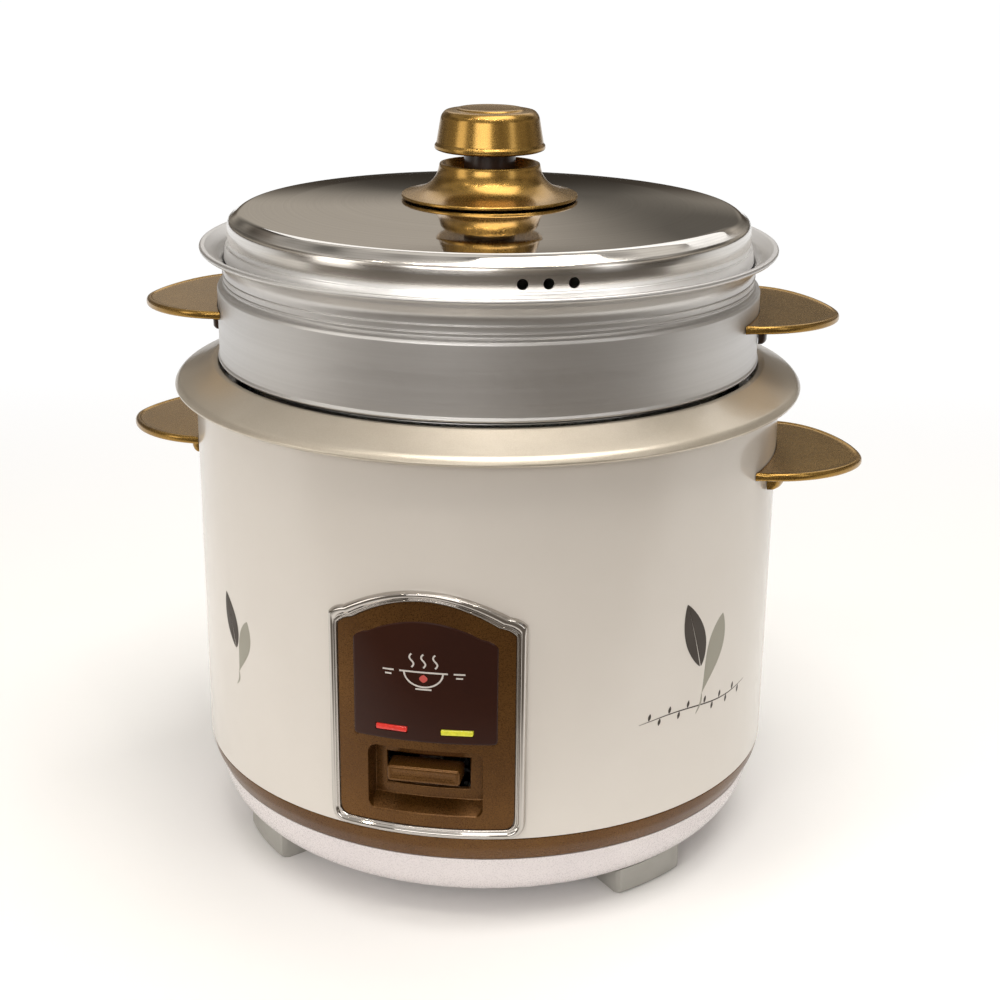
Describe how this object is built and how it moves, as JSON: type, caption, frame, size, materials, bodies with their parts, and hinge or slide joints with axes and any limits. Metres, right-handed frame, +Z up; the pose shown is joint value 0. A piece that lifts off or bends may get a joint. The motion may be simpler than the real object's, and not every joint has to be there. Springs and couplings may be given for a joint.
{
  "type": "rice cooker",
  "caption": "Drum rice cooker with a lift-out pot, a perforated steamer tray, a domed steel lid with a mushroom knob, side handles and a lever switch on a framed front panel.",
  "frame": {"origin": "on the floor under the centre of the drum", "axes": "+Z up along the drum's axis, -Y towards the switch panel, the body handles reach along +X and -X"},
  "size_m": [0.344, 0.286, 0.3348],
  "materials": {
    "cream_enamel": "glossy cream enamel on steel",
    "pearl_plastic": "pearl white moulding",
    "champagne_ring": "satin champagne metallic",
    "bronze_panel": "dark bronze metallic moulding",
    "gold_bronze": "gold bronze metallic moulding",
    "dark_brown": "dark brown moulding",
    "chrome_trim": "bright plated",
    "smoked_window": "dark smoked acrylic",
    "red_lens": "red lamp lens",
    "amber_lens": "yellow lamp lens",
    "lamp_board": "moulded lamp holder",
    "foot_grey": "moulded grey",
    "satin_aluminium": "satin spun",
    "mill_aluminium": "pressed sheet",
    "polished_steel": "mirror polished with a brushed skirt",
    "plated_steel": "zinc plated",
    "ferrite": "sintered, matt",
    "pin_brass": "machined",
    "black_plastic": "moulded black"
  },
  "bodies": {
    "cooker_body": {"base_pan": "pearl_plastic", "trim_band": "bronze_panel", "outer_shell": "cream_enamel", "top_ring": "champagne_ring", "inner_liner": "mill_aluminium", "bottom_plate": "mill_aluminium", "bottom_screw_1": "plated_steel", "bottom_screw_2": "plated_steel", "bottom_screw_3": "plated_steel", "foot_1": "foot_grey", "foot_2": "foot_grey", "foot_3": "foot_grey", "foot_4": "foot_grey", "body_handle_right": "gold_bronze", "body_handle_left": "gold_bronze", "handle_screw_1": "plated_steel", "handle_screw_2": "plated_steel", "handle_screw_3": "plated_steel", "handle_screw_4": "plated_steel", "panel_bezel": "chrome_trim", "panel_face": "bronze_panel", "panel_window": "smoked_window", "lamp_lens_red": "red_lens", "lamp_lens_amber": "amber_lens", "lamp_board": "lamp_board", "heating_plate": "mill_aluminium", "heater_terminal_1": "plated_steel", "heater_terminal_2": "plated_steel", "plate_strut_1": "plated_steel", "plate_strut_2": "plated_steel", "plate_strut_3": "plated_steel", "thermostat_housing": "plated_steel", "sensor_spring": "plated_steel", "lever_bracket": "plated_steel", "lever_pin": "plated_steel", "microswitch": "black_plastic", "power_inlet": "black_plastic", "inlet_pin_1": "pin_brass", "inlet_pin_2": "pin_brass", "terminal_block": "pearl_plastic"},
    "inner_pot": {"inner_pot": "mill_aluminium"},
    "steamer": {"steamer_tray": "satin_aluminium", "steamer_handle_right": "gold_bronze", "steamer_handle_left": "gold_bronze", "steamer_bracket_right": "dark_brown", "steamer_bracket_left": "dark_brown", "steamer_rivet_right": "plated_steel", "steamer_rivet_left": "plated_steel"},
    "lid": {"lid_dome": "polished_steel", "knob_flange": "gold_bronze", "knob_neck": "dark_brown", "knob_cap": "gold_bronze", "lid_washer": "plated_steel", "knob_screw": "plated_steel"},
    "switch": {"switch_lever": "plated_steel", "switch_tab": "bronze_panel"},
    "magnet": {"magnet_holder": "plated_steel", "magnet_disc": "ferrite"},
    "sensor": {"sensor_cap": "mill_aluminium", "sensor_ferrite": "ferrite"}
  },
  "joints": [
    {"name": "pot_lift", "type": "slide", "parent": "cooker_body", "child": "inner_pot", "axis": [0, 0, 1], "range_m": [0, 0.2]},
    {"name": "steamer_lift", "type": "slide", "parent": "inner_pot", "child": "steamer", "axis": [0, 0, 1], "range_m": [0, 0.12]},
    {"name": "lid_lift", "type": "slide", "parent": "steamer", "child": "lid", "axis": [0, 0, 1], "range_m": [0, 0.15]},
    {"name": "switch_press", "type": "hinge", "parent": "cooker_body", "child": "switch", "pos_m": [0, -0.072, 0.05935], "axis": [1, 0, 0], "range_deg": [0, 4.67], "stiffness_Nm_per_rad": 0.5, "springref_deg": -6.88},
    {"name": "magnet_rise", "type": "slide", "parent": "cooker_body", "child": "magnet", "axis": [0, 0, 1], "range_m": [0, 0.0059]},
    {"name": "sensor_travel", "type": "slide", "parent": "cooker_body", "child": "sensor", "axis": [0, 0, 1], "range_m": [-0.0015, 0], "stiffness_N_per_m": 400, "springref_m": 0.004}
  ],
  "couplings": [
    {"joint": "magnet_rise", "follows": "switch_press", "m_per_rad": 0.072}
  ]
}
